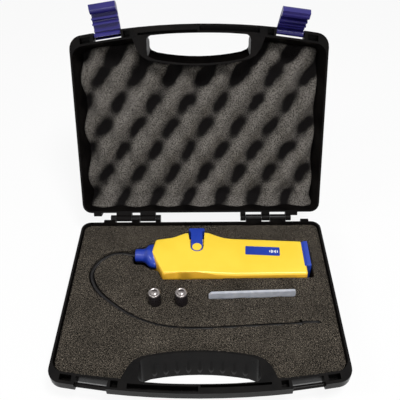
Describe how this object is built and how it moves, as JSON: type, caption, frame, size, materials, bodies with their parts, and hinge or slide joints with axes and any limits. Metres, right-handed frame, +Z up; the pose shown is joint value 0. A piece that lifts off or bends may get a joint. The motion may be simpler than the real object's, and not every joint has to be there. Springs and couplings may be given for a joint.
{
  "type": "gas leak detector case",
  "caption": "Moulded carry case standing open, foam-lined, with a handheld gas leak detector, its curved probe, spare cells and probe sleeve seated in the base.",
  "frame": {"origin": "centre of the base half's flat underside, on the floor and midway between the rear wall and the front of the handle", "axes": "+X to the right as the user faces the open case, +Y back towards the hinges, +Z up"},
  "size_m": [0.33, 0.3927, 0.2958],
  "materials": {
    "shell_black": "fine grain",
    "foam": "open-cell foam",
    "steel": "bright",
    "latch_blue": "smooth",
    "housing_yellow": "smooth",
    "fitting_blue": "smooth",
    "label_film": "printed film",
    "probe_black": "satin",
    "board_green": "lacquered",
    "tray_grey": "moulded",
    "cell_metal": "nickel and wrap",
    "sleeve_frost": "frosted"
  },
  "bodies": {
    "base": {"base_shell": "shell_black", "base_pad": "foam", "base_foam": "foam", "hinge_pin_left": "steel", "hinge_pin_right": "steel"},
    "lid": {"lid_shell": "shell_black", "lid_foam": "foam"},
    "left_latch": {"latch_left": "latch_blue"},
    "right_latch": {"latch_right": "latch_blue"},
    "detector": {"housing_upper": "housing_yellow", "housing_lower": "housing_yellow", "nose_collar": "fitting_blue", "probe_ferrule": "probe_black", "gooseneck": "probe_black", "sensor_tip": "probe_black", "label_plate": "label_film", "circuit_board": "board_green", "sounder": "probe_black", "battery_tray": "tray_grey", "battery_cells": "cell_metal", "contact_springs": "steel", "case_screws": "steel"},
    "lever": {"switch_lever": "fitting_blue"},
    "door": {"battery_door": "fitting_blue"},
    "left_cell": {"spare_cell_left": "cell_metal"},
    "right_cell": {"spare_cell_right": "cell_metal"},
    "sleeve": {"probe_sleeve": "sleeve_frost"}
  },
  "joints": [
    {"name": "lid_hinge", "type": "hinge", "parent": "base", "child": "lid", "pos_m": [0, 0.1335, 0.037], "axis": [1, 0, 0], "range_deg": [0, 115]},
    {"name": "left_latch_pivot", "type": "hinge", "parent": "lid", "child": "left_latch", "pos_m": [-0.116, 0.24583, 0.2566], "axis": [0.9903, 0.0588, 0.1262], "range_deg": [-25, 90]},
    {"name": "right_latch_pivot", "type": "hinge", "parent": "lid", "child": "right_latch", "pos_m": [0.116, 0.24583, 0.2566], "axis": [0.9903, -0.0588, -0.1262], "range_deg": [-71, 44]},
    {"name": "detector_lift", "type": "slide", "parent": "base", "child": "detector", "axis": [0, 0, -1], "range_m": [-0.09, 0]},
    {"name": "switch_lever_turn", "type": "hinge", "parent": "detector", "child": "lever", "pos_m": [-0.0044, 0.073, 0.026], "axis": [0, 0, 1], "range_deg": [-4, 6]},
    {"name": "battery_door_slide", "type": "slide", "parent": "detector", "child": "door", "axis": [0, 0, -1], "range_m": [-0.03, 0]},
    {"name": "left_cell_lift", "type": "slide", "parent": "base", "child": "left_cell", "axis": [0, 0, -1], "range_m": [-0.09, 0]},
    {"name": "right_cell_lift", "type": "slide", "parent": "base", "child": "right_cell", "axis": [0, 0, -1], "range_m": [-0.09, 0]},
    {"name": "sleeve_lift", "type": "slide", "parent": "base", "child": "sleeve", "axis": [0, 0, -1], "range_m": [-0.09, 0]}
  ]
}
